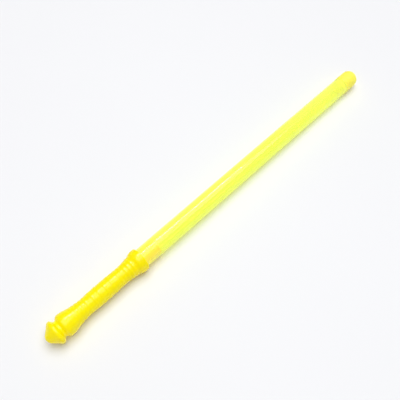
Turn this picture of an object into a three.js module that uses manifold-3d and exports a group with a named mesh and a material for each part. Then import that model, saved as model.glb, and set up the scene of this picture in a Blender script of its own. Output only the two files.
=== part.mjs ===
// A light-up juggling stick: a hollow translucent tube on a beaded hand grip.
// The grip holds two cells end to end, the pommel is the push button of the tail switch,
// and the end ring behind the bell is a bayonet cap that lets the cells out.
// Millimetres. The stick lies along X, pommel at -X, tip at +X, and the frame's origin is
// half way along its axis. Inside the stick group, x is the station: the distance from the
// pommel's tip.
import * as THREE from "three";
import { mergeVertices } from "three/addons/utils/BufferGeometryUtils.js";
import Module from "manifold-3d";

const wasm = await Module();
wasm.setup();

// ---------- driving dimensions ----------
const LENGTH = 480;
const GAP = 0.3; // clearance between neighbouring pieces
const FACETS = 28; // round the outer pieces
const FINE_FACETS = 20; // round the small inner pieces
const PRESS_TRAVEL = 2; // of the pommel button
const CAP_TURN = 50; // degrees, battery cap from locked to open

const TUBE = { outer: 10.35, wall: 1.2, to: 453.4 };
const HOLDER_RADIUS = TUBE.outer - TUBE.wall - GAP; // of all that plugs the tube
const TIP = { spigot: 448.9, rim: 453.9, radius: 10.5 };

const COLLAR = { from: 115, to: 117.2, radius: 12.85, rounding: 0.9 };
const SOCKET = { floor: 109, radius: TUBE.outer + GAP };
const PLUG_SOCKET = { floor: 103, radius: HOLDER_RADIUS + GAP };
const GRIP = { from: 27.2, bore: 7.5 };

const POMMEL = {
  noseRadius: 6.8,
  flankDegrees: 45,
  rimRadius: 12.7,
  rimTo: 12.5,
  neckFrom: 14.8,
  neckRadius: 9.3,
  neckBore: 7.2,
};
const HOOK = { slotFrom: 17.4, from: 19.3, to: 21.3, radius: 10.15, slot: 3 };
const POST = { from: 8.5, to: 19.6, radius: 2.2 };

const RING = {
  from: 16.9,
  mouthRadius: 9.9,
  shoulder: 19.6,
  shoulderRadius: 12.1,
  peak: 23.4,
  peakRadius: 12.35,
  to: 26.9,
  frontRadius: 11.6,
};
const RING_LIP = { to: HOOK.from - GAP, bore: POMMEL.neckRadius + GAP };
const RING_CAVITY = 10.5;

const CARRIER = {
  from: HOOK.to + PRESS_TRAVEL + 0.4,
  flangeTo: 25.9,
  flange: RING_CAVITY - GAP,
  skirt: 8.7,
  bore: 7.7,
  to: 34.3,
};
const COUNTERBORE = { radius: CARRIER.skirt + GAP, to: 35.5 };
const LUG = { from: 29, to: 30.5, radius: 9.4, halfDegrees: 12 };
const CHANNEL = { radius: LUG.radius + GAP, slackDegrees: 3 };
const BAYONET_SIDES = [0, 180];

const SWITCH = { from: 22.3, to: 28.3, width: 8 };
const PLUNGER = { from: POST.to + GAP, to: 22.9, radius: 1.5 };
const TERMINAL = { width: 1.6, thick: 0.4, to: 30.9, offset: 2.4 };
const CONTACT = { from: CARRIER.to + GAP, thick: 0.5, inner: 5.2, outer: 8.7, legFrom: 29, footEnd: 3 };

const CELL = { from: 35.7, radius: 5.2, can: 43.7, nub: 0.8, nubRadius: 1.9, chamfer: 0.4 };
const CELL_PITCH = CELL.can + CELL.nub + 0.1;
const CELLS_END = CELL.from + 2 * CELL_PITCH - 0.1;
const SLEEVE = { from: 37.3, to: 122.7, bore: 5.45, outer: 6.15 };
const STRIP = { from: 35.5, inner: SLEEVE.outer + GAP, thick: 0.4, width: 3, tabEnd: 5.2, to: 125.6 };

const BOARD = { from: STRIP.to + 0.4, thick: 1, radius: 6.1 };
const LED = { from: 128.6, flange: 2.9, flangeThick: 1, radius: 2.45, length: 8.2, pitch: 1.27, lead: 0.5 };
const HOLDER = { to: 137.2, bore: 6.5, boreTo: 129.7, cup: 131.9, mouth: 7 };
const RESISTOR = { length: 2, width: 1.25, height: 0.6, offset: 4.2 };

// ---------- materials ----------
const plastic = (color, roughness) => new THREE.MeshStandardMaterial({ color, roughness, metalness: 0 });
const metal = (color, roughness) => new THREE.MeshStandardMaterial({ color, roughness, metalness: 1 });
const gripYellow = () => plastic(0xf5e81c, 0.42);
const tipYellow = () => plastic(0xf2ee4a, 0.4);
const whitePlastic = () => plastic(0xe8e8e4, 0.5);
const blackPlastic = () => plastic(0x1c1c1e, 0.45);
const boardGreen = () => plastic(0x1d6b3a, 0.5);
const clearLens = () => plastic(0xf4f6f0, 0.08);
const springSteel = () => metal(0xb8bcc2, 0.3);
const cellCan = () => metal(0x8f959c, 0.35);
const platedBrass = () => metal(0xc9b26a, 0.35);

function tubeNeon() {
  const material = plastic(0xeef95a, 0.12);
  material.transparent = true;
  material.opacity = 0.55;
  return material;
}

// ---------- geometry helpers ----------
function solid(geometry) {
  const bare = geometry.index ? geometry.toNonIndexed() : geometry.clone();
  bare.deleteAttribute("normal");
  bare.deleteAttribute("uv");
  const merged = mergeVertices(bare, 1e-4);
  return new wasm.Manifold(new wasm.Mesh({
    numProp: 3,
    vertProperties: Float32Array.from(merged.attributes.position.array),
    triVerts: Uint32Array.from(merged.index.array),
  }));
}

function geometryOf(manifold) {
  const mesh = manifold.getMesh();
  const geometry = new THREE.BufferGeometry();
  geometry.setAttribute("position", new THREE.BufferAttribute(mesh.vertProperties, 3));
  geometry.setIndex(new THREE.BufferAttribute(mesh.triVerts, 1));
  geometry.computeVertexNormals();
  return geometry;
}

// A turned piece from [station, radius] points, its outer side in order of station. The outline
// starts and ends on the axis, or it is closed here. A flat, not an edge, faces down.
function turned(outline, facets = FACETS) {
  const startsOnAxis = outline[0][1] === 0;
  const loop = startsOnAxis ? outline : [...outline, outline[0]];
  const profile = loop.map(([station, radius]) => new THREE.Vector2(radius, station));
  return new THREE.LatheGeometry(profile, facets).rotateY(Math.PI / facets).rotateZ(-Math.PI / 2);
}

function ring(from, to, inner, outer, facets = FINE_FACETS) {
  return turned([[from, inner], [from, outer], [to, outer], [to, inner]], facets);
}

function disc(from, to, radius, facets = FINE_FACETS) {
  return turned([[from, 0], [from, radius], [to, radius], [to, 0]], facets);
}

// A block between two stations, centred at (y, z) across the stick.
function block(from, to, sizeY, sizeZ, y = 0, z = 0) {
  return new THREE.BoxGeometry(to - from, sizeY, sizeZ).translate((from + to) / 2, y, z);
}

// Part of a ring between two angles in degrees, counted about +X from +Y towards +Z.
function sector(from, to, inner, outer, startDegrees, endDegrees) {
  const start = THREE.MathUtils.degToRad(startDegrees);
  const end = THREE.MathUtils.degToRad(endDegrees);
  const outline = new THREE.Shape();
  outline.absarc(0, 0, outer, start, end, false);
  outline.absarc(0, 0, inner, end, start, true);
  const options = { depth: to - from, bevelEnabled: false, curveSegments: 6 };
  const yzPlane = new THREE.Matrix4().makeBasis(
    new THREE.Vector3(0, 1, 0),
    new THREE.Vector3(0, 0, 1),
    new THREE.Vector3(1, 0, 0),
  );
  return new THREE.ExtrudeGeometry(outline, options).applyMatrix4(yzPlane).translate(from, 0, 0);
}

// [station, radius] points on an arc. 90 degrees is outwards, 0 is towards the tip.
function arc(centreStation, centreRadius, radius, startDegrees, endDegrees, steps) {
  return Array.from({ length: steps + 1 }, (_, i) => {
    const angle = THREE.MathUtils.degToRad(startDegrees + ((endDegrees - startDegrees) * i) / steps);
    return [centreStation + radius * Math.cos(angle), centreRadius + radius * Math.sin(angle)];
  });
}

// A wound wire spring along X, from a wire centre at one end to a wire centre at the other.
function coil(from, to, startRadius, endRadius, wire, turns) {
  const helix = new THREE.Curve();
  helix.getPoint = (t, target = new THREE.Vector3()) => {
    const angle = t * turns * 2 * Math.PI;
    const radius = THREE.MathUtils.lerp(startRadius, endRadius, t);
    return target.set(THREE.MathUtils.lerp(from, to, t), radius * Math.cos(angle), radius * Math.sin(angle));
  };
  const section = new THREE.Shape().absarc(0, 0, wire / 2, 0, 2 * Math.PI);
  const stepsPerTurn = 12;
  return new THREE.ExtrudeGeometry(section, {
    extrudePath: helix, steps: Math.round(turns * stepsPerTurn), curveSegments: 4, bevelEnabled: false,
  });
}

const stick = new THREE.Group();
stick.position.x = -LENGTH / 2;

function add(name, geometry, material) {
  const mesh = new THREE.Mesh(geometry, material);
  mesh.name = name;
  stick.add(mesh);
}

// ---------- tube and tip ----------
function lightTube() {
  return ring(SOCKET.floor + GAP, TUBE.to, TUBE.outer - TUBE.wall, TUBE.outer, FACETS);
}

// A solid soft dome on a short spigot that plugs the tube's end.
function tipCap() {
  const domeBase = LENGTH - TIP.radius;
  return turned([
    [TIP.spigot, 0],
    [TIP.spigot, HOLDER_RADIUS],
    [TIP.rim, HOLDER_RADIUS],
    [TIP.rim, TIP.radius],
    ...arc(domeBase, 0, TIP.radius, 90, 0, 7).slice(0, -1),
    [LENGTH, 0],
  ]);
}

// ---------- grip ----------
// Knots of [station, radius] under the beads: a flare, a waist, a faint swell for the palm, a
// second waist and the flare up to the collar.
const GRIP_KNOTS = [
  [27.2, 11.55], [29.6, 11.1], [31.4, 10.6], [33.2, 10.15], [36, 9.7], [40, 9.25], [44, 8.9], [48, 8.85],
  [53, 9.3], [60, 9.45], [70, 9.45], [80, 9.35], [86, 9.1], [92, 9.0], [96, 9.3], [100, 9.75], [104, 10.3],
  [106.8, 10.9], [108.3, 11.5], [109.6, 12.1], [111, 12.5], [113, 12.75], [115, 12.85],
];

// Raised beads round the grip: close together at both waists, wider apart over the swell.
const BEAD = { height: 0.3, halfWidth: 1.5 };
const BEAD_RUNS = [
  { from: 35.7, pitch: 4.1, count: 3 },
  { from: 48, pitch: 7.45, count: 5 },
  { from: 87.1, pitch: 4.2, count: 5 },
];

// A function from a station to the radius of the smooth curve through the knots.
function gripRadius() {
  const knots = GRIP_KNOTS.map(([station, radius]) => new THREE.Vector2(station, radius));
  const samples = new THREE.SplineCurve(knots).getPoints(12 * knots.length);
  return (station) => {
    const next = Math.max(1, samples.findIndex(({ x }) => x >= station - 1e-6));
    const [before, after] = [samples[next - 1], samples[next]];
    return THREE.MathUtils.mapLinear(station, before.x, after.x, before.y, after.y);
  };
}

function gripSurface() {
  const radiusAt = gripRadius();
  const smooth = (stations) => stations.map((station) => [station, radiusAt(station)]);
  const centres = BEAD_RUNS.flatMap(({ from, pitch, count }) => (
    Array.from({ length: count }, (_, i) => from + pitch * i)
  ));
  const beads = centres.flatMap((centre) => [-1, -0.5, 0, 0.5, 1].map((share) => {
    const station = centre + share * BEAD.halfWidth;
    const rise = Math.cos((share * Math.PI) / 2) ** 2;
    return [station, radiusAt(station) + BEAD.height * rise];
  }));
  return [
    ...smooth([GRIP.from, 28.4, 29.6, 30.8, 32, 33.2]),
    ...beads,
    ...smooth([106.8, 108.3, 109.6, 111, 113, COLLAR.from]),
  ];
}

// One moulding: beaded outside, cell bore inside, a stepped socket for the tube and its plug at
// the front, and a counterbore with two L-shaped bayonet channels at the back.
function grip() {
  const { to, radius, rounding } = COLLAR;
  const body = solid(turned([
    [GRIP.from, COUNTERBORE.radius],
    ...gripSurface(),
    ...arc(to - rounding, radius - rounding, rounding, 90, 0, 3),
    [to, SOCKET.radius],
    [SOCKET.floor, SOCKET.radius],
    [SOCKET.floor, PLUG_SOCKET.radius],
    [PLUG_SOCKET.floor, PLUG_SOCKET.radius],
    [PLUG_SOCKET.floor, GRIP.bore],
    [COUNTERBORE.to, GRIP.bore],
    [COUNTERBORE.to, COUNTERBORE.radius],
  ]));
  const inner = COUNTERBORE.radius - 1;
  const runFrom = LUG.from - GAP;
  const runTo = LUG.to + GAP;
  const cut = BAYONET_SIDES.reduce((remaining, side) => {
    const low = side - LUG.halfDegrees - CHANNEL.slackDegrees;
    const high = side + LUG.halfDegrees + CHANNEL.slackDegrees;
    const run = sector(runFrom, runTo, inner, CHANNEL.radius, low, high + CAP_TURN);
    const entry = sector(GRIP.from - 1, runTo, inner, CHANNEL.radius, low + CAP_TURN, high + CAP_TURN);
    return remaining.subtract(solid(run)).subtract(solid(entry));
  }, body);
  return geometryOf(cut);
}

// ---------- battery cap: end ring, switch carrier, switch and contacts ----------
function endRing() {
  return turned([
    [RING.from, RING_LIP.bore],
    [RING.from, RING.mouthRadius],
    [RING.shoulder - 0.6, RING.shoulderRadius - 0.5],
    [RING.shoulder + 0.3, RING.shoulderRadius],
    [RING.peak, RING.peakRadius],
    [RING.to - 1.2, RING.frontRadius + 0.4],
    [RING.to, RING.frontRadius],
    [RING.to, RING_CAVITY],
    [RING_LIP.to, RING_CAVITY],
    [RING_LIP.to, RING_LIP.bore],
  ]);
}

// A flanged cup with a square window for the switch and two bayonet lugs on its skirt.
function switchCarrier() {
  const cup = solid(turned([
    [CARRIER.from, 0],
    [CARRIER.from, CARRIER.flange],
    [CARRIER.flangeTo, CARRIER.flange],
    [CARRIER.flangeTo, CARRIER.skirt],
    [CARRIER.to, CARRIER.skirt],
    [CARRIER.to, CARRIER.bore],
    [CARRIER.flangeTo, CARRIER.bore],
    [CARRIER.flangeTo, 0],
  ]));
  const window = SWITCH.width + 2 * GAP;
  const opened = cup.subtract(solid(block(CARRIER.from - 1, CARRIER.flangeTo + 1, window, window)));
  const root = CARRIER.skirt - 0.4;
  const withLugs = BAYONET_SIDES.reduce((whole, side) => {
    const lug = sector(LUG.from, LUG.to, root, LUG.radius, side - LUG.halfDegrees, side + LUG.halfDegrees);
    return whole.add(solid(lug));
  }, opened);
  return geometryOf(withLugs);
}

function switchBody() {
  const guide = disc(SWITCH.from - 1, PLUNGER.to + PRESS_TRAVEL + GAP, PLUNGER.radius + GAP, 12);
  return geometryOf(solid(block(SWITCH.from, SWITCH.to, SWITCH.width, SWITCH.width)).subtract(solid(guide)));
}

function terminal(side) {
  return block(SWITCH.to + GAP, TERMINAL.to, TERMINAL.width, TERMINAL.thick, 0, side * TERMINAL.offset);
}

// A washer on the skirt's end, with a leg bent back to the switch's upper terminal.
function contactRing() {
  const { from, thick, inner, outer, legFrom, footEnd } = CONTACT;
  const washer = solid(ring(from, from + thick, inner, outer, FACETS));
  const legZ = inner + thick / 2 + 0.1;
  const leg = solid(block(legFrom, from + thick / 2, STRIP.width, thick, 0, legZ));
  const foot = solid(block(legFrom, legFrom + thick, STRIP.width, legZ - footEnd, 0, (legZ + footEnd) / 2));
  return geometryOf(washer.add(leg).add(foot));
}

// ---------- pommel ----------
// A blunt cone with a rim. Its hollow neck ends in six hooks that snap behind the end ring's
// lip, and a post inside it presses the switch's plunger.
function pommel() {
  const { noseRadius, flankDegrees, rimRadius, rimTo, neckFrom, neckRadius, neckBore } = POMMEL;
  const nose = arc(noseRadius, 0, noseRadius, 180, 180 - flankDegrees, 5).slice(1);
  const [noseEnd, noseEndRadius] = nose.at(-1);
  const body = solid(turned([
    [0, 0],
    ...nose,
    [noseEnd + rimRadius - noseEndRadius, rimRadius],
    [rimTo, rimRadius],
    [neckFrom, neckRadius],
    [HOOK.from, neckRadius],
    [HOOK.from, HOOK.radius],
    [HOOK.to, neckRadius],
    [HOOK.to, neckBore],
    [POST.from, neckBore],
    [POST.from, POST.radius],
    [POST.to, POST.radius],
    [POST.to, 0],
  ]));
  const post = solid(disc(0, POST.to + 1, POST.radius + GAP));
  const slotted = [0, 60, 120].reduce((remaining, degrees) => {
    const slot = block(HOOK.slotFrom, HOOK.to + 1, 2 * HOOK.radius + 2, HOOK.slot);
    const turnedSlot = solid(slot.rotateX(THREE.MathUtils.degToRad(degrees)));
    return remaining.subtract(turnedSlot.subtract(post));
  }, body);
  return geometryOf(slotted);
}

// ---------- cells, sleeve and wiring ----------
function cell(from) {
  const { radius, can, nub, nubRadius, chamfer } = CELL;
  return turned([
    [from, 0],
    [from, radius - chamfer],
    [from + chamfer, radius],
    [from + can - chamfer, radius],
    [from + can, radius - chamfer],
    [from + can, nubRadius],
    [from + can + nub, nubRadius],
    [from + can + nub, 0],
  ], FINE_FACETS);
}

// A flat brass strip over the cells, with a tab turned inwards at each end.
function contactStrip() {
  const { from, to, inner, thick, tabEnd, width } = STRIP;
  const outline = new THREE.Shape([
    [from, tabEnd], [from + thick, tabEnd], [from + thick, inner], [to - thick, inner],
    [to - thick, tabEnd], [to, tabEnd], [to, inner + thick], [from, inner + thick],
  ].map(([x, y]) => new THREE.Vector2(x, y)));
  const flat = new THREE.ExtrudeGeometry(outline, { depth: width, bevelEnabled: false });
  return flat.translate(0, 0, -width / 2).rotateX(Math.PI / 2);
}

// ---------- light head ----------
// A plug in the tube's mouth, with a conical cup round the lamp and a slot for the strip.
function ledHolder() {
  const from = PLUG_SOCKET.floor + GAP;
  const lampBore = LED.radius + GAP;
  const body = solid(turned([
    [from, HOLDER.bore],
    [from, HOLDER_RADIUS],
    [HOLDER.to, HOLDER_RADIUS],
    [HOLDER.to, HOLDER.mouth],
    [HOLDER.cup, lampBore],
    [HOLDER.boreTo, lampBore],
    [HOLDER.boreTo, HOLDER.bore],
  ]));
  const slotTop = STRIP.inner + STRIP.thick + GAP;
  const slot = block(from - 1, STRIP.to + GAP, STRIP.width + 2 * GAP, slotTop, 0, slotTop / 2);
  return geometryOf(body.subtract(solid(slot)));
}

function ledLens() {
  const { from, flange, flangeThick, radius, length } = LED;
  const domeCentre = from + length - radius;
  return turned([
    [from, 0],
    [from, flange],
    [from + flangeThick, flange],
    [from + flangeThick, radius],
    ...arc(domeCentre, 0, radius, 90, 0, 5).slice(0, -1),
    [domeCentre + radius, 0],
  ], FINE_FACETS);
}

function ledLead(side) {
  return block(BOARD.from, LED.from - 0.1, LED.lead, LED.lead, side * LED.pitch);
}

function circuitBoard() {
  const hole = LED.lead + 0.2;
  const board = solid(disc(BOARD.from, BOARD.from + BOARD.thick, BOARD.radius));
  const drilled = [-1, 1].reduce((remaining, side) => {
    const drill = block(BOARD.from - 1, BOARD.from + BOARD.thick + 1, hole, hole, side * LED.pitch);
    return remaining.subtract(solid(drill));
  }, board);
  return geometryOf(drilled);
}

function resistor() {
  const from = BOARD.from + BOARD.thick + 0.1;
  return block(from, from + RESISTOR.height, RESISTOR.length, RESISTOR.width, 0, -RESISTOR.offset);
}

// ---------- assembly ----------
add("pommel_button", pommel(), gripYellow());
add("button_spring", coil(POST.from + 0.5, CARRIER.from - 0.8, 6.4, 6.4, 0.7, 4.5), springSteel());
add("switch_plunger", disc(PLUNGER.from, PLUNGER.to, PLUNGER.radius, 12), whitePlastic());

add("end_ring", endRing(), gripYellow());
add("switch_carrier", switchCarrier(), whitePlastic());
add("switch_body", switchBody(), blackPlastic());
add("switch_terminal_lower", terminal(-1), platedBrass());
add("switch_terminal_upper", terminal(1), platedBrass());
add("battery_spring", coil(TERMINAL.to + 0.7, CELL.from - 0.7, 4.5, 3, 0.6, 3), springSteel());
add("contact_ring", contactRing(), platedBrass());

add("grip", grip(), gripYellow());
add("battery_sleeve", ring(SLEEVE.from, SLEEVE.to, SLEEVE.bore, SLEEVE.outer), whitePlastic());
add("battery_rear", cell(CELL.from), cellCan());
add("battery_front", cell(CELL.from + CELL_PITCH), cellCan());
add("contact_strip", contactStrip(), platedBrass());

add("led_holder", ledHolder(), gripYellow());
add("front_contact", disc(CELLS_END + 0.1, BOARD.from - 0.1, 2.6), platedBrass());
add("circuit_board", circuitBoard(), boardGreen());
add("resistor", resistor(), blackPlastic());
add("led_lens", ledLens(), clearLens());
add("led_lead_left", ledLead(-1), springSteel());
add("led_lead_right", ledLead(1), springSteel());

add("light_tube", lightTube(), tubeNeon());
add("tip_cap", tipCap(), tipYellow());

const group = new THREE.Group();
group.add(stick);
export default group;
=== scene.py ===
"""Visual model of a light-up juggling stick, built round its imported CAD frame.

The stick lies along X with its pommel at -X. Outlines are (station, radius) points in
millimetres, where the station is the distance from the pommel's nose along the axis.
"""
import math

import bmesh
import bpy
from mathutils import Matrix, Vector


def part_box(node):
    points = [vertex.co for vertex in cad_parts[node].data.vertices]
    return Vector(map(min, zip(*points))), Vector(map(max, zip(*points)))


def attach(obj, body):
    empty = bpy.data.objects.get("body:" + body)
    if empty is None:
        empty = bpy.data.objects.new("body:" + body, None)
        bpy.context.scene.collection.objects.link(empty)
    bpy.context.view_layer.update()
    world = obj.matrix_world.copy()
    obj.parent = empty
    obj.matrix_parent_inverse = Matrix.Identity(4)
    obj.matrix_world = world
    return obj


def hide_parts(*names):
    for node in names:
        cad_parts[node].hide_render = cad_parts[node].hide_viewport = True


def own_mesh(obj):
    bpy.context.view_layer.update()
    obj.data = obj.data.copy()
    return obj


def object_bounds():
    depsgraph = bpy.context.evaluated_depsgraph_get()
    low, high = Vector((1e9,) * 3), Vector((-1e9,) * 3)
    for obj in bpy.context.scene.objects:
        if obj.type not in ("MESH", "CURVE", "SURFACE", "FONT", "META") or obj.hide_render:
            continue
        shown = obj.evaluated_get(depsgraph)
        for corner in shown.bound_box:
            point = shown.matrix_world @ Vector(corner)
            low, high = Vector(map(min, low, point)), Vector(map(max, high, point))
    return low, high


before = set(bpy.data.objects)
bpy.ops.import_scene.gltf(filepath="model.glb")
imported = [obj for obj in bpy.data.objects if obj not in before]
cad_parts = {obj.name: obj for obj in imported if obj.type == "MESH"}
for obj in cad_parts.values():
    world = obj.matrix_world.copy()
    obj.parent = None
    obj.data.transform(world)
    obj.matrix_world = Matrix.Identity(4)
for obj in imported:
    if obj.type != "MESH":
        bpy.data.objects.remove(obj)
CAD_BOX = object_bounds()

MM = 0.001
NOSE_X = CAD_BOX[0][0]
SMOOTH_SIDES = 128  # round the pieces that show
INNER_SIDES = 64  # round the pieces inside
CAD_FACETS = 28  # round the outer CAD pieces, with flats facing +-Y and +-Z
CLEARANCE = 0.3  # between neighbouring CAD pieces
OVERCUT = 1.0  # how far a cutting tool passes the surface that it cuts
ON_AXIS = 1e-6  # a smaller radius than this is a point on the axis


# ---------- reading the frame ----------
def span(node):
    """A node's first and last station, in millimetres."""
    low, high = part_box(node)
    return (low[0] - NOSE_X) / MM, (high[0] - NOSE_X) / MM


def radius_of(node):
    """The radius that an outer turned node's facets are drawn on, in millimetres."""
    low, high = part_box(node)
    return (high[2] - low[2]) / 2 / MM / math.cos(math.pi / CAD_FACETS)


def x_at(station):
    """The frame's x, in metres, at a station in millimetres."""
    return NOSE_X + station * MM


def spoke(angle):
    """The unit vector across the axis at an angle in radians, counted about +X from +Y towards +Z."""
    return Vector((0, math.cos(angle), math.sin(angle)))


# ---------- outlines ----------
def arc(centre_station, centre_radius, radius, start, end, steps, length=None):
    """Points on an arc. 90 degrees is outwards, 0 is towards the tip, 180 is towards the nose.

    The length is the arc's radius along the stick, where that is not the same as across it.
    """
    along = radius if length is None else length
    points = []
    for i in range(steps + 1):
        angle = math.radians(start + (end - start) * i / steps)
        points.append((centre_station + along * math.cos(angle), centre_radius + radius * math.sin(angle)))
    return points


def rounded(corners, steps=5):
    """An outline from its corners. A corner is (station, radius), or (station, radius, ease) where
    it becomes a small curve that starts and ends that far from it."""
    places = [Vector(corner[:2]) for corner in corners]
    points = []
    for i, corner in enumerate(corners):
        if len(corner) == 2:
            points.append(corner)
            continue
        here = places[i]
        ease = corner[2]
        before = here + (places[i - 1] - here).normalized() * ease
        after = here + (places[(i + 1) % len(places)] - here).normalized() * ease
        for k in range(steps + 1):
            t = k / steps
            curve = before * (1 - t) ** 2 + here * 2 * t * (1 - t) + after * t ** 2
            points.append((curve.x, curve.y))
    return points


def sleeve_outline(first, last, inner, outer, ease):
    """A plain ring's outline with its four edges rounded."""
    return rounded([(first, inner, ease), (first, outer, ease), (last, outer, ease), (last, inner, ease)])


def rod_outline(first, last, radius, back_ease, front_ease):
    """A plain rod's outline with its two edges rounded."""
    return rounded([(first, 0), (first, radius, back_ease), (last, radius, front_ease), (last, 0)])


# ---------- meshes ----------
def new_object(name, builder):
    """Turn a bmesh into an object of the scene."""
    mesh = bpy.data.meshes.new(name)
    builder.to_mesh(mesh)
    builder.free()
    piece = bpy.data.objects.new(name, mesh)
    bpy.context.scene.collection.objects.link(piece)
    return piece


def shade(piece, sharp_degrees=35):
    """Smooth faces, with the edges over the given angle left sharp."""
    builder = bmesh.new()
    builder.from_mesh(piece.data)
    bmesh.ops.recalc_face_normals(builder, faces=builder.faces)
    for face in builder.faces:
        face.smooth = True
    for edge in builder.edges:
        edge.smooth = not edge.is_manifold or edge.calc_face_angle() < math.radians(sharp_degrees)
    builder.to_mesh(piece.data)
    builder.free()
    return piece


def turned(name, outline, sides=SMOOTH_SIDES):
    """A piece of revolution. The outline is closed on itself, or starts and ends on the axis."""
    builder = bmesh.new()
    rings = []
    for station, radius in outline:
        centre = Vector((x_at(station), 0, 0))
        ring = []
        for i in range(1 if radius < ON_AXIS else sides):
            ring.append(builder.verts.new(centre + spoke(2 * math.pi * i / sides) * radius * MM))
        rings.append(ring)
    closed = len(rings[0]) > 1
    following = rings[1:] + rings[:1] if closed else rings[1:]
    for first, second in zip(rings, following):
        for i in range(sides):
            j = (i + 1) % sides
            quad = [first[i % len(first)], first[j % len(first)]]
            quad += [second[j % len(second)], second[i % len(second)]]
            corners = list(dict.fromkeys(quad))  # three of them where a ring is a point on the axis
            if len(corners) > 2:
                builder.faces.new(corners)
    return shade(new_object(name, builder))


def skin_rings(builder, rings):
    """Join a row of closed rings of vertices into one closed body."""
    count = len(rings[0])
    for one, two in zip(rings, rings[1:]):
        for k in range(count):
            builder.faces.new((one[k], one[(k + 1) % count], two[(k + 1) % count], two[k]))
    builder.faces.new(rings[0])
    builder.faces.new(rings[-1])


def sector(name, first, last, inner, outer, start, end, steps=24):
    """Part of a ring between two angles in degrees, counted as spoke() does."""
    builder = bmesh.new()
    corners = [(first, inner), (first, outer), (last, outer), (last, inner)]
    slices = []
    for i in range(steps + 1):
        across = spoke(math.radians(start + (end - start) * i / steps)) * MM
        slices.append([builder.verts.new(Vector((x_at(s), 0, 0)) + across * r) for s, r in corners])
    skin_rings(builder, slices)
    return shade(new_object(name, builder))


def block(name, first, last, size_y, size_z, centre_z=0.0, turn_degrees=0.0):
    """A block between two stations, turned about the stick's axis."""
    builder = bmesh.new()
    bmesh.ops.create_cube(builder, size=1.0)
    size = Matrix.Diagonal(((last - first) * MM, size_y * MM, size_z * MM, 1))
    place = Matrix.Translation((x_at((first + last) / 2), 0, centre_z * MM))
    turn = Matrix.Rotation(math.radians(turn_degrees), 4, "X")
    bmesh.ops.transform(builder, matrix=turn @ place @ size, verts=builder.verts)
    return shade(new_object(name, builder))


def combine(piece, tool, operation="DIFFERENCE"):
    """Cut the tool out of the piece, or add it, and remove the tool."""
    modifier = piece.modifiers.new(tool.name, "BOOLEAN")
    modifier.operation = operation
    modifier.solver = "EXACT"
    modifier.object = tool
    evaluated = piece.evaluated_get(bpy.context.evaluated_depsgraph_get())
    result = bpy.data.meshes.new_from_object(evaluated)
    piece.modifiers.clear()
    piece.data = result
    bpy.data.objects.remove(tool)
    return shade(piece)


def spring(name, first, last, start_radius, end_radius, wire, turns, sides=12, steps_per_turn=40):
    """A compression spring between two stations: its end turns lie closed, the rest open."""
    closed_turn = 0.8  # of a turn lies closed at each end
    closed_pitch = 1.05 * wire
    closed_rise = closed_turn * closed_pitch
    open_turns = turns - 2 * closed_turn
    length = last - first - wire
    builder = bmesh.new()
    steps = round(turns * steps_per_turn)
    rings = []
    for i in range(steps + 1):
        turn = turns * i / steps
        if turn < closed_turn:
            rise = closed_rise * turn / closed_turn
        elif turn > turns - closed_turn:
            rise = length - closed_rise * (turns - turn) / closed_turn
        else:
            rise = closed_rise + (length - 2 * closed_rise) * (turn - closed_turn) / open_turns
        radius = start_radius + (end_radius - start_radius) * i / steps
        outwards = spoke(2 * math.pi * turn)
        centre = Vector((x_at(first + wire / 2 + rise), 0, 0)) + outwards * radius * MM
        ring = []
        for k in range(sides):
            angle = 2 * math.pi * k / sides
            offset = Vector((1, 0, 0)) * math.cos(angle) + outwards * math.sin(angle)
            ring.append(builder.verts.new(centre + offset * wire / 2 * MM))
        rings.append(ring)
    skin_rings(builder, rings)
    return shade(new_object(name, builder), sharp_degrees=60)


def finish_piece(piece, body, node, material):
    """Give a piece its material and put it in its CAD node's place."""
    piece.data.materials.clear()
    piece.data.materials.append(material)
    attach(piece, body)
    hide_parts(node)


# ---------- material helpers ----------
NOISE_LOW = 0.3  # nearly all of a noise node's output lies between these two
NOISE_HIGH = 0.7


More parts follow.
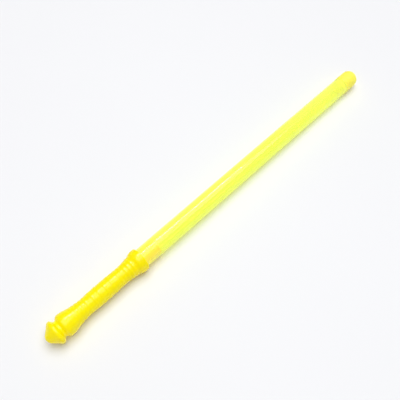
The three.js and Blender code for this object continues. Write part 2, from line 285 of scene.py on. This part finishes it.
class Shader:
    """A material's node tree, with short calls for the nodes that the materials below share."""

    def __init__(self, name):
        self.material = bpy.data.materials.new(name)
        self.material.use_nodes = True
        self.tree = self.material.node_tree
        self.principled = self.tree.nodes["Principled BSDF"]
        self.output = self.tree.nodes["Material Output"]
        self.place = self.tree.nodes.new("ShaderNodeTexCoord").outputs["Object"]

    def set(self, **values):
        """Set the Principled shader's own sockets, with _ for the spaces in their names."""
        for name, value in values.items():
            self.principled.inputs[name.replace("_", " ")].default_value = value

    def link(self, source, target):
        self.tree.links.new(source, target)

    def feed(self, source, socket):
        """Link a node's output to one of the Principled shader's sockets."""
        self.link(source, self.principled.inputs[socket])

    def noise(self, scale, detail=3.0, roughness=0.5, stretch=(1, 1, 1)):
        """Noise in the object's own space. A small stretch value draws it out along that axis."""
        mapping = self.tree.nodes.new("ShaderNodeMapping")
        mapping.inputs["Scale"].default_value = stretch
        self.link(self.place, mapping.inputs["Vector"])
        noise = self.tree.nodes.new("ShaderNodeTexNoise")
        noise.inputs["Scale"].default_value = scale
        noise.inputs["Detail"].default_value = detail
        noise.inputs["Roughness"].default_value = roughness
        self.link(mapping.outputs["Vector"], noise.inputs["Vector"])
        return noise.outputs["Fac"]

    def tones(self, noise, low, high):
        """A colour that a noise moves between the two given."""
        ramp = self.tree.nodes.new("ShaderNodeValToRGB")
        stops = ((NOISE_LOW, low), (NOISE_HIGH, high))
        for element, (position, colour) in zip(ramp.color_ramp.elements, stops):
            element.position = position
            element.color = (*colour, 1)
        self.link(noise, ramp.inputs["Fac"])
        return ramp.outputs["Color"]

    def between(self, source, low, high, from_low=NOISE_LOW, from_high=NOISE_HIGH):
        """Map a node's output onto the range from low to high."""
        remap = self.tree.nodes.new("ShaderNodeMapRange")
        limits = {"From Min": from_low, "From Max": from_high, "To Min": low, "To Max": high}
        for name, value in limits.items():
            remap.inputs[name].default_value = value
        self.link(source, remap.inputs["Value"])
        return remap.outputs["Result"]

    def bump(self, height, distance, strength, below=None):
        """A normal from a height. The distance is in millimetres, and below is a normal under it."""
        bump = self.tree.nodes.new("ShaderNodeBump")
        bump.inputs["Strength"].default_value = strength
        bump.inputs["Distance"].default_value = distance * MM
        self.link(height, bump.inputs["Height"])
        if below is not None:
            self.link(below, bump.inputs["Normal"])
        return bump.outputs["Normal"]


# ---------- materials ----------
PLASTIC_IOR = 1.49
RESIN_IOR = 1.5
RESIN_LOW = (0.95, 0.97, 0.95)
RESIN_HIGH = (0.99, 0.99, 0.98)
RESIN_CLEARNESS = 0.9

MOULDED_SCATTER = 0.35
MOULDED_SCATTER_DEPTH = 0.003  # metres
MOULDED_SCATTER_SHARES = (1.0, 0.75, 0.1)  # of that depth, for red, green and blue
MOULDED_SPECULAR = 0.3
GRIP_LOW = (0.78, 0.72, 0.0)
GRIP_HIGH = (0.82, 0.77, 0.0)
GRIP_ROUGHNESS = 0.22
# Painted light: an even emission on the grip, no lamp, that lifts its shaded side and tints the floor
# beside it yellow.
GRIP_PAINTED_LIGHT = (0.21, 0.13, 0.0)
# Stronger painted light for the pommel, so its face turned away from the light is painted brighter.
POMMEL_PAINTED_LIGHT = (0.24, 0.15, 0.0)

TUBE_DYE_LOW = (0.9, 0.96, 0.18)
TUBE_DYE_HIGH = (0.93, 0.99, 0.24)
TUBE_TINT = (0.99, 1.0, 0.62)  # of what is seen through one wall
TUBE_HAZE = (0.22, 0.7)  # share that scatters, seen square on and at the edge
TUBE_HAZE_BLEND = 0.35
TUBE_ROUGHNESS = (0.09, 0.13)
TUBE_SPECULAR = 1.0
# Painted light: an even emission that brightens the tube and the yellow-green light it throws on the
# floor.
TUBE_PAINTED_LIGHT = 0.2
TUBE_PAINTED_LIGHT_COLOUR = (0.9, 1.0, 0.3)


def moulded_yellow(name, low, high, roughness, painted_light):
    """Satin moulded plastic with fine grain and faint flow clouds, and an even painted glow that lifts its
    shaded side.
    """
    shader = Shader(name)
    clouds = shader.noise(scale=38, detail=4, stretch=(0.35, 1, 1))
    shader.feed(shader.tones(clouds, low, high), "Base Color")
    wear = shader.noise(scale=210, detail=5, roughness=0.65)
    shader.feed(shader.between(wear, roughness - 0.06, roughness + 0.08), "Roughness")
    grain = shader.bump(shader.noise(scale=2600, detail=2), distance=0.01, strength=0.35)
    waves = shader.noise(scale=60, detail=2)
    shader.feed(shader.bump(waves, distance=0.08, strength=0.25, below=grain), "Normal")
    shader.set(
        Subsurface_Weight=MOULDED_SCATTER,
        Subsurface_Scale=MOULDED_SCATTER_DEPTH,
        Subsurface_Radius=MOULDED_SCATTER_SHARES,
        IOR=PLASTIC_IOR,
        Specular_IOR_Level=MOULDED_SPECULAR,
        # The emission is painted light: it brightens the part evenly, most visibly on its shaded side.
        Emission_Color=(*painted_light, 1),
        Emission_Strength=1.0,
    )
    return shader.material


def neon_tube(name):
    """Clear neon-dyed tube: tinted see-through with a light haze, a gloss skin, fine scuffs and a painted
    glow that brightens it.
    """
    shader = Shader(name)
    clouds = shader.noise(scale=22, detail=3, stretch=(0.2, 1, 1))
    shader.feed(shader.tones(clouds, TUBE_DYE_LOW, TUBE_DYE_HIGH), "Base Color")
    scuffs = shader.noise(scale=420, detail=6, roughness=0.7, stretch=(0.15, 1, 1))
    shader.feed(shader.between(scuffs, *TUBE_ROUGHNESS), "Roughness")
    draw_lines = shader.noise(scale=110, detail=1, stretch=(0.03, 1, 1))
    shader.feed(shader.bump(draw_lines, distance=0.01, strength=0.1), "Normal")
    shader.set(
        IOR=PLASTIC_IOR,
        Specular_IOR_Level=TUBE_SPECULAR,
        Emission_Color=(*TUBE_PAINTED_LIGHT_COLOUR, 1),
        Emission_Strength=TUBE_PAINTED_LIGHT,
    )
    clear = shader.tree.nodes.new("ShaderNodeBsdfTransparent")
    clear.inputs["Color"].default_value = (*TUBE_TINT, 1)
    mix = shader.tree.nodes.new("ShaderNodeMixShader")
    facing = shader.tree.nodes.new("ShaderNodeLayerWeight")
    facing.inputs["Blend"].default_value = TUBE_HAZE_BLEND
    haze = shader.between(facing.outputs["Facing"], *TUBE_HAZE, from_low=0.0, from_high=1.0)
    shader.link(haze, mix.inputs[0])
    shader.link(clear.outputs[0], mix.inputs[1])
    shader.link(shader.principled.outputs[0], mix.inputs[2])
    shader.link(mix.outputs[0], shader.output.inputs["Surface"])
    return shader.material


def plain_plastic(name, low, high, roughness):
    """Plain moulded plastic for the pieces inside."""
    shader = Shader(name)
    shader.feed(shader.tones(shader.noise(scale=70), low, high), "Base Color")
    wear = shader.noise(scale=300, detail=4)
    shader.feed(shader.between(wear, roughness - 0.08, roughness + 0.08), "Roughness")
    grain = shader.noise(scale=1500, detail=2)
    shader.feed(shader.bump(grain, distance=0.01, strength=0.4), "Normal")
    return shader.material


def metal(name, low, high, roughness, stretch=(1, 1, 1)):
    """Drawn or rolled metal, brushed along the axes that have a small stretch value."""
    shader = Shader(name)
    shader.feed(shader.tones(shader.noise(scale=90, detail=5), low, high), "Base Color")
    brushed = shader.noise(scale=900, detail=4, stretch=stretch)
    shader.feed(shader.between(brushed, roughness - 0.1, roughness + 0.12), "Roughness")
    shader.feed(shader.bump(brushed, distance=0.005, strength=0.5), "Normal")
    shader.set(Metallic=1.0)
    return shader.material


def clear_resin(name):
    """Clear cast resin, faintly uneven."""
    shader = Shader(name)
    shader.feed(shader.tones(shader.noise(scale=140), RESIN_LOW, RESIN_HIGH), "Base Color")
    shader.feed(shader.between(shader.noise(scale=500, detail=3), 0.03, 0.1), "Roughness")
    shader.feed(shader.bump(shader.noise(scale=120, detail=2), distance=0.01, strength=0.2), "Normal")
    shader.set(Transmission_Weight=RESIN_CLEARNESS, IOR=RESIN_IOR)
    return shader.material


GRIP_YELLOW = moulded_yellow("grip_yellow", GRIP_LOW, GRIP_HIGH, GRIP_ROUGHNESS, GRIP_PAINTED_LIGHT)
# A brighter copy of the grip's yellow: its stronger emission paints light onto the pommel's shaded face.
POMMEL_YELLOW = moulded_yellow("pommel_yellow", GRIP_LOW, GRIP_HIGH, GRIP_ROUGHNESS, POMMEL_PAINTED_LIGHT)
# The glow values of the tip and the plug are painted light: even emission that brightens their shaded
# sides.
TIP_YELLOW = moulded_yellow(
    "tip_yellow", (0.77, 0.73, 0.06), (0.8, 0.76, 0.1), roughness=0.34, painted_light=(0.24, 0.215, 0.02),
)
PLUG_YELLOW = moulded_yellow(
    "plug_yellow", (0.87, 0.62, 0.0), (0.91, 0.66, 0.01), roughness=0.4, painted_light=(0.29, 0.135, 0.0),
)
NEON = neon_tube("tube_neon")
WHITE = plain_plastic("white_plastic", (0.78, 0.78, 0.75), (0.86, 0.86, 0.83), 0.45)
BLACK = plain_plastic("black_plastic", (0.012, 0.012, 0.014), (0.03, 0.03, 0.033), 0.4)
BOARD_GREEN = plain_plastic("board_green", (0.01, 0.12, 0.04), (0.02, 0.2, 0.07), 0.3)
STEEL = metal("spring_steel", (0.5, 0.51, 0.53), (0.66, 0.67, 0.69), 0.28)
BRASS = metal("contact_brass", (0.66, 0.5, 0.2), (0.8, 0.64, 0.3), 0.3, stretch=(0.1, 1, 1))
CAN = metal("cell_can", (0.36, 0.38, 0.41), (0.5, 0.52, 0.55), 0.3, stretch=(1, 0.2, 0.2))
RESIN = clear_resin("led_resin")


# ---------- grip ----------
# Knots of (station, radius) under the beads: a flare, a waist, a faint swell for the palm, a
# second waist and the flare up to the collar.
GRIP_KNOTS = [
    (27.2, 11.55), (29.6, 11.1), (31.4, 10.6), (33.2, 10.15), (36, 9.7), (40, 9.25), (44, 8.9),
    (48, 8.85), (53, 9.3), (60, 9.45), (70, 9.45), (80, 9.35), (86, 9.1), (92, 9.0), (96, 9.3),
    (100, 9.75), (104, 10.3), (106.8, 10.9), (108.3, 11.5), (109.6, 12.1), (111, 12.5),
    (113, 12.75), (115, 12.85),
]
BELL_RADIUS = GRIP_KNOTS[0][1]
COLLAR_STATION, COLLAR_RADIUS = GRIP_KNOTS[-1]
BEAD_HEIGHT = 0.31
BEAD_HALF_WIDTH = 1.8
BEAD_RUNS = [(35.7, 4.1, 3), (48, 7.45, 5), (87.1, 4.2, 5)]  # first station, pitch, count
BEADS = [start + pitch * i for start, pitch, count in BEAD_RUNS for i in range(count)]
COLLAR_ROUNDING = 0.9
SURFACE_STEP = 0.25  # between the outline's points along the grip
BELL_EDGE = 0.12  # bevel at the grip's rear end
CELL_BORE = 7.5
COUNTERBORE_RADIUS = 9.0
COUNTERBORE_END = 35.5
PLUG_SOCKET_FLOOR = span("led_holder")[0] - CLEARANCE
TUBE_SOCKET_FLOOR = span("light_tube")[0] - CLEARANCE

LUG = (29.0, 30.5)  # stations
LUG_RADIUS = 9.4
LUG_HALF_DEGREES = 12
CHANNEL_SLACK_DEGREES = 3
CAP_TURN = 50
BAYONET_SIDES = (0, 180)


def knot_radius(station):
    """The radius of a Catmull-Rom curve through the grip's knots."""
    knots = GRIP_KNOTS
    i = max(k for k in range(len(knots) - 1) if knots[k][0] <= station)
    p0, p1, p2, p3 = (knots[min(max(k, 0), len(knots) - 1)] for k in (i - 1, i, i + 1, i + 2))
    run = p2[0] - p1[0]
    t = (station - p1[0]) / run
    slope1 = (p2[1] - p0[1]) / (p2[0] - p0[0]) * run
    slope2 = (p3[1] - p1[1]) / (p3[0] - p1[0]) * run
    a = 2 * p1[1] - 2 * p2[1] + slope1 + slope2
    b = -3 * p1[1] + 3 * p2[1] - 2 * slope1 - slope2
    return a * t ** 3 + b * t ** 2 + slope1 * t + p1[1]


def bead_rise(station):
    """How far the beads stand out at a station."""
    nearest = min(abs(station - bead) for bead in BEADS)
    if nearest > BEAD_HALF_WIDTH:
        return 0.0
    return BEAD_HEIGHT * math.cos(math.pi / 2 * nearest / BEAD_HALF_WIDTH) ** 2


def build_grip():
    """Beaded outside, cell bore inside, a stepped socket at the front, bayonet channels at the back."""
    first, last = span("grip")
    count = round((COLLAR_STATION - first - BELL_EDGE) / SURFACE_STEP)
    stations = [first + BELL_EDGE + SURFACE_STEP * i for i in range(count)]
    plug_radius = radius_of("led_holder") + CLEARANCE
    tube_radius = radius_of("light_tube") + CLEARANCE
    mouth = [(first, COUNTERBORE_RADIUS), (first, BELL_RADIUS - BELL_EDGE)]
    surface = [(station, knot_radius(station) + bead_rise(station)) for station in stations]
    brim_station = last - COLLAR_ROUNDING
    brim_radius = COLLAR_RADIUS - COLLAR_ROUNDING
    collar = arc(brim_station, brim_radius, COLLAR_ROUNDING, start=90, end=0, steps=8)
    inside = [
        (last, tube_radius),
        (TUBE_SOCKET_FLOOR, tube_radius),
        (TUBE_SOCKET_FLOOR, plug_radius),
        (PLUG_SOCKET_FLOOR, plug_radius),
        (PLUG_SOCKET_FLOOR, CELL_BORE),
        (COUNTERBORE_END, CELL_BORE),
        (COUNTERBORE_END, COUNTERBORE_RADIUS),
    ]
    piece = turned("grip_moulding", mouth + surface + collar + inside)
    run_from = LUG[0] - CLEARANCE
    run_to = LUG[1] + CLEARANCE
    radii = (COUNTERBORE_RADIUS - OVERCUT, LUG_RADIUS + CLEARANCE)
    for side in BAYONET_SIDES:
        low = side - LUG_HALF_DEGREES - CHANNEL_SLACK_DEGREES
        high = side + LUG_HALF_DEGREES + CHANNEL_SLACK_DEGREES
        combine(piece, sector("run", run_from, run_to, *radii, low, high + CAP_TURN))
        combine(piece, sector("entry", first - OVERCUT, run_to, *radii, low + CAP_TURN, high + CAP_TURN))
    finish_piece(piece, "stick", "grip", GRIP_YELLOW)


# ---------- battery cap ----------
RING_CAVITY = 10.5
RING_MOUTH = 9.9
RING_LIP = 2.0  # thickness
RING_SHOULDER = (19.6, 12.15)  # station, radius
RING_PEAK = (23.4, 12.35)
RING_STEP = 0.1  # how far the ring's front stands out past the grip
NECK_RADIUS = 9.3
SEAM = 0.04  # the hairline that shows between the end ring and the grip

FLANGE_END = 25.9  # station
FLANGE_RADIUS = 10.2
SKIRT_RADIUS = 8.7
SKIRT_BORE = 7.7
SWITCH_WINDOW = 8.6
LUG_ROOT = 0.4  # how deep a lug is set into the skirt


def build_end_ring():
    """The grip's rear flare, with a lip that the pommel's hooks catch on."""
    first = span("end_ring")[0]
    seam = span("grip")[0] - SEAM
    lip_bore = NECK_RADIUS + CLEARANCE
    piece = turned("end_ring_moulding", rounded([
        (first, lip_bore, 0.15),
        (first, RING_MOUTH, 0.2),
        (*RING_SHOULDER, 0.9),
        (*RING_PEAK, 1.6),
        (seam, BELL_RADIUS + RING_STEP, 0.1),
        (seam, RING_CAVITY),
        (first + RING_LIP, RING_CAVITY),
        (first + RING_LIP, lip_bore),
    ]))
    finish_piece(piece, "battery_cap", "end_ring", GRIP_YELLOW)


def build_switch_carrier():
    """A cup with a flange, a window for the switch and the bayonet's two lugs."""
    first, last = span("switch_carrier")
    outline = rounded([
        (first, 0),
        (first, FLANGE_RADIUS, 0.2),
        (FLANGE_END, FLANGE_RADIUS, 0.2),
        (FLANGE_END, SKIRT_RADIUS),
        (last, SKIRT_RADIUS, 0.15),
        (last, SKIRT_BORE, 0.15),
        (FLANGE_END, SKIRT_BORE),
        (FLANGE_END, 0),
    ])
    piece = turned("switch_cup", outline, INNER_SIDES)
    combine(piece, block("window", first - OVERCUT, FLANGE_END + OVERCUT, SWITCH_WINDOW, SWITCH_WINDOW))
    for side in BAYONET_SIDES:
        low = side - LUG_HALF_DEGREES
        high = side + LUG_HALF_DEGREES
        combine(piece, sector("lug", *LUG, SKIRT_RADIUS - LUG_ROOT, LUG_RADIUS, low, high), "UNION")
    finish_piece(piece, "battery_cap", "switch_carrier", WHITE)


# ---------- pommel ----------
POMMEL_NOSE_RADIUS = 6.8
POMMEL_FLANK = 45  # degrees from the axis
POMMEL_RIM_RADIUS = 12.7
POMMEL_RIM_END = 12.5  # station
NECK_START = 14.8
NECK_BORE = 7.2
HOOK = (19.3, 21.3)  # stations of the barb
HOOK_RADIUS = 10.15
HOOK_SLOT_START = 17.4
HOOK_SLOT_WIDTH = 3.0
HOOK_SLOT_DEGREES = (0, 60, 120)  # each slot cuts both sides, so these part six hooks
SLOT_CORE_RADIUS = 5.0  # left uncut round the post
POST = (8.5, 19.6)  # stations
POST_RADIUS = 2.2


def build_pommel():
    """A blunt cone on a slotted neck with hooks, and a post inside that pushes the switch."""
    hook_from, hook_to = HOOK
    post_from, post_to = POST
    nose_end = 180 - POMMEL_FLANK
    nose = arc(POMMEL_NOSE_RADIUS, 0, POMMEL_NOSE_RADIUS, start=180, end=nose_end, steps=12)
    nose[0] = (0.0, 0.0)  # exactly on the axis
    flank_station, flank_radius = nose[-1]
    piece = turned("pommel_moulding", rounded(nose + [
        (flank_station + POMMEL_RIM_RADIUS - flank_radius, POMMEL_RIM_RADIUS, 0.9),
        (POMMEL_RIM_END, POMMEL_RIM_RADIUS, 0.5),
        (NECK_START, NECK_RADIUS, 0.5),
        (hook_from, NECK_RADIUS),
        (hook_from, HOOK_RADIUS),
        (hook_to, NECK_RADIUS),
        (hook_to, NECK_BORE),
        (post_from, NECK_BORE),
        (post_from, POST_RADIUS),
        (post_to, POST_RADIUS, 0.3),
        (post_to, 0),
    ]))
    across = 2 * (HOOK_RADIUS + OVERCUT)
    slot_to = hook_to + OVERCUT
    core_from = HOOK_SLOT_START - OVERCUT
    core_to = slot_to + OVERCUT
    core_radius = SLOT_CORE_RADIUS
    core_outline = [(core_from, 0), (core_from, core_radius), (core_to, core_radius), (core_to, 0)]
    for degrees in HOOK_SLOT_DEGREES:
        slot = block("slot", HOOK_SLOT_START, slot_to, across, HOOK_SLOT_WIDTH, turn_degrees=degrees)
        core = turned("core", core_outline, sides=32)
        combine(piece, combine(slot, core))
    finish_piece(piece, "pommel", "pommel_button", POMMEL_YELLOW)


# ---------- tube, plug and tip ----------
LAMP_BORE = 2.75
CUP_START = 131.9  # station of the lamp's conical cup
CUP_MOUTH = 7.0
PLUG_BORE = 6.5
PLUG_BORE_END = 129.7
STRIP_SLOT_WIDTH = 3.6
STRIP_SLOT_TOP = 7.15
DOME_LENGTH = 9.8  # a little flatter than a ball


def build_tube():
    first, last = span("light_tube")
    bore = radius_of("led_holder") + CLEARANCE
    outer = radius_of("light_tube")
    piece = turned("tube_shell", sleeve_outline(first, last, bore, outer, ease=0.08))
    finish_piece(piece, "stick", "light_tube", NEON)


def build_plug():
    """The plug in the tube's mouth, with a cup for the lamp and a slot for the contact strip."""
    first, last = span("led_holder")
    radius = radius_of("led_holder")
    piece = turned("lamp_plug", rounded([
        (first, PLUG_BORE),
        (first, radius, 0.3),
        (last, radius, 0.35),
        (last, CUP_MOUTH, 0.2),
        (CUP_START, LAMP_BORE),
        (PLUG_BORE_END, LAMP_BORE),
        (PLUG_BORE_END, PLUG_BORE),
    ]))
    slot_end = span("contact_strip")[1] + CLEARANCE
    slot_size = (STRIP_SLOT_WIDTH, STRIP_SLOT_TOP)
    combine(piece, block("strip_slot", first - OVERCUT, slot_end, *slot_size, centre_z=STRIP_SLOT_TOP / 2))
    finish_piece(piece, "stick", "led_holder", PLUG_YELLOW)


def build_tip():
    """A solid dome on a short spigot."""
    first, last = span("tip_cap")
    rim = span("light_tube")[1] + SEAM
    radius = radius_of("tip_cap")
    spigot = radius_of("led_holder")
    dome = arc(last - DOME_LENGTH, 0, radius, start=90, end=0, steps=24, length=DOME_LENGTH)
    outline = [(first, 0), (first, spigot, 0.4), (rim, spigot), (rim, radius, 0.08)]
    piece = turned("tip_dome", rounded(outline + dome[:-1] + [(last, 0)]))
    finish_piece(piece, "stick", "tip_cap", TIP_YELLOW)


# ---------- inner pieces ----------
CELL_RADIUS = 5.2
CELL_EASE = 0.5
CELL_NUB_RADIUS = 1.9
CELL_NUB_HEIGHT = 0.8
CELL_WELL = 0.2  # depth of the well round the nub
CELL_WELL_RADIUS = 3.0  # at its floor
CELL_WELL_RIM = 3.1
CRIMP_DEPTH = 0.25
CRIMP_HALF_WIDTH = 0.5
CRIMP_FROM_SHOULDER = 3.0
SLEEVE_BORE = 5.45
SLEEVE_RADIUS = 6.15
LAMP_FLANGE_RADIUS = 2.9
LAMP_FLANGE_THICK = 1.0
LAMP_RADIUS = 2.45
CONTACT_RADIUS = 2.6
PLUNGER_RADIUS = 1.5


def build_cells():
    for node in ("battery_rear", "battery_front"):
        first, last = span(node)
        shoulder = last - CELL_NUB_HEIGHT
        well = shoulder - CELL_WELL
        crimp = shoulder - CRIMP_FROM_SHOULDER
        outline = rounded([
            (first, 0),
            (first, CELL_RADIUS, CELL_EASE),
            (crimp - CRIMP_HALF_WIDTH, CELL_RADIUS),
            (crimp, CELL_RADIUS - CRIMP_DEPTH),
            (crimp + CRIMP_HALF_WIDTH, CELL_RADIUS),
            (shoulder, CELL_RADIUS, CELL_EASE),
            (shoulder, CELL_WELL_RIM),
            (well, CELL_WELL_RADIUS),
            (well, CELL_NUB_RADIUS),
            (last, CELL_NUB_RADIUS, 0.3),
            (last, 0),
        ])
        piece = turned(node + "_can", outline, INNER_SIDES)
        finish_piece(piece, "stick", node, CAN)


def build_sleeve():
    outline = sleeve_outline(*span("battery_sleeve"), SLEEVE_BORE, SLEEVE_RADIUS, ease=0.15)
    sleeve = turned("cell_sleeve", outline, INNER_SIDES)
    finish_piece(sleeve, "stick", "battery_sleeve", WHITE)


def build_lamp():
    first, last = span("led_lens")
    flange_to = first + LAMP_FLANGE_THICK
    flange = [
        (first, 0),
        (first, LAMP_FLANGE_RADIUS, 0.15),
        (flange_to, LAMP_FLANGE_RADIUS, 0.15),
        (flange_to, LAMP_RADIUS),
    ]
    dome = arc(last - LAMP_RADIUS, 0, LAMP_RADIUS, start=90, end=0, steps=14)
    lamp = turned("lamp_lens", rounded(flange + dome[:-1] + [(last, 0)]), INNER_SIDES)
    finish_piece(lamp, "stick", "led_lens", RESIN)


def build_front_contact():
    outline = rod_outline(*span("front_contact"), CONTACT_RADIUS, back_ease=0.25, front_ease=0.1)
    contact = turned("front_button", outline, INNER_SIDES)
    finish_piece(contact, "stick", "front_contact", BRASS)


def build_plunger():
    outline = rod_outline(*span("switch_plunger"), PLUNGER_RADIUS, back_ease=0.4, front_ease=0.1)
    plunger = turned("plunger_rod", outline, INNER_SIDES)
    finish_piece(plunger, "pommel", "switch_plunger", WHITE)


def build_springs():
    first, last = span("button_spring")
    button = spring("pommel_spring", first, last, start_radius=6.4, end_radius=6.4, wire=0.7, turns=6)
    finish_piece(button, "battery_cap", "button_spring", STEEL)
    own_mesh(button)

    first, last = span("battery_spring")
    cell = spring("cell_spring", first, last, start_radius=4.5, end_radius=3, wire=0.6, turns=3.6)
    finish_piece(cell, "battery_cap", "battery_spring", STEEL)


def dress_cad_nodes():
    """Materials for the CAD nodes that no piece replaces."""
    looks = {
        BLACK: ("switch_body", "resistor"),
        BOARD_GREEN: ("circuit_board",),
        BRASS: ("switch_terminal_lower", "switch_terminal_upper", "contact_ring", "contact_strip"),
        STEEL: ("led_lead_left", "led_lead_right"),
    }
    for material, nodes in looks.items():
        for node in nodes:
            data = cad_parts[node].data
            data.materials.clear()
            data.materials.append(material)


# ---------- camera, floor and light ----------
FLOOR_HALF = 3.0  # metres
FLOOR_DROP = 0.00002  # below the lowest points, so that nothing touches it
FLOOR_LOW = (0.84, 0.844, 0.865)
FLOOR_HIGH = (0.85, 0.854, 0.875)
FLOOR_ROUGHNESS = 0.7
AMBIENT = 0.26  # strength of the even light
BACKDROP = 0.85  # brightness of what is seen past the floor
KEY = 2.63
KEY_ANGLE = 56.0  # degrees that the softbox spans
KEY_FROM = (0.15, 0.0, 1.0)
STRIP = 5.5
STRIP_LENGTH = 0.5
STRIP_WIDTH = 0.04
STRIP_PLACE = (0.24, 0.344, 0.81)
CAMERA_ELEVATION = 58.2  # degrees above the table
CAMERA_TURN = 45.3  # degrees from +Y towards +X, the way it looks
CAMERA_DISTANCE = 0.5425
CAMERA_AIM = (-0.0313, 0.0069, 0.0)
CAMERA_LENS = 45.0
CAMERA_SENSOR = 36.0


def build_camera():
    data = bpy.data.cameras.new("camera")
    data.lens = CAMERA_LENS
    data.sensor_width = CAMERA_SENSOR
    camera = bpy.data.objects.new("camera", data)
    bpy.context.scene.collection.objects.link(camera)
    elevation = math.radians(CAMERA_ELEVATION)
    turn = math.radians(CAMERA_TURN)
    level = Vector((math.sin(turn), math.cos(turn), 0)) * math.cos(elevation)
    looking = level - Vector((0, 0, math.sin(elevation)))
    camera.location = Vector(CAMERA_AIM) - looking * CAMERA_DISTANCE
    camera.rotation_euler = looking.to_track_quat("-Z", "Y").to_euler()
    bpy.context.scene.camera = camera


def build_floor():
    """A wide sheet that touches the collar's and the tip cap's lowest points."""
    collar_station = span("grip")[1] - COLLAR_ROUNDING
    collar = (x_at(collar_station), -COLLAR_RADIUS * MM)
    tip_radius = radius_of("tip_cap") * MM
    tip = (CAD_BOX[1][0] - tip_radius, -tip_radius)
    slope = (tip[1] - collar[1]) / (tip[0] - collar[0])
    builder = bmesh.new()
    bmesh.ops.create_grid(builder, x_segments=8, y_segments=8, size=FLOOR_HALF)
    floor = new_object("floor_sheet", builder)
    floor.rotation_euler = (0, -math.atan(slope), 0)
    floor.location = (0, 0, collar[1] - slope * collar[0] - FLOOR_DROP)
    shader = Shader("floor_paper")
    shader.feed(shader.tones(shader.noise(scale=3, detail=2), FLOOR_LOW, FLOOR_HIGH), "Base Color")
    shader.set(Roughness=FLOOR_ROUGHNESS)
    floor.data.materials.append(shader.material)


def light_object(name, kind, strength):
    data = bpy.data.lights.new(name, kind)
    data.energy = strength
    light = bpy.data.objects.new(name, data)
    bpy.context.scene.collection.objects.link(light)
    return light


def build_world():
    """A faint even light that looks like a pale backdrop."""
    world = bpy.data.worlds.new("studio")
    world.use_nodes = True
    tree = world.node_tree
    background = tree.nodes["Background"]
    background.inputs["Color"].default_value = (1, 1, 1, 1)
    strength = tree.nodes.new("ShaderNodeMapRange")
    strength.inputs["To Min"].default_value = AMBIENT
    strength.inputs["To Max"].default_value = BACKDROP
    seen = tree.nodes.new("ShaderNodeLightPath").outputs["Is Camera Ray"]
    tree.links.new(seen, strength.inputs["Value"])
    tree.links.new(strength.outputs["Result"], background.inputs["Strength"])
    bpy.context.scene.world = world


def build_lights():
    overhead = light_object("overhead_softbox", "SUN", KEY)
    overhead.data.angle = math.radians(KEY_ANGLE)
    overhead.rotation_euler = (-Vector(KEY_FROM)).to_track_quat("-Z", "Y").to_euler()

    # A strip along the stick that the tube mirrors as one thin line.
    strip = light_object("strip_softbox", "AREA", STRIP)
    strip.data.shape = "RECTANGLE"
    strip.data.size = STRIP_LENGTH
    strip.data.size_y = STRIP_WIDTH
    strip.location = STRIP_PLACE
    strip.rotation_euler = (-math.atan2(STRIP_PLACE[1], STRIP_PLACE[2]), 0, 0)
    strip.visible_diffuse = False


build_camera()
build_floor()
build_world()
build_lights()
build_grip()
build_end_ring()
build_switch_carrier()
build_pommel()
build_tube()
build_plug()
build_tip()
build_cells()
build_sleeve()
build_lamp()
build_front_contact()
build_plunger()
build_springs()
dress_cad_nodes()
bpy.context.scene.view_settings.view_transform = "Standard"
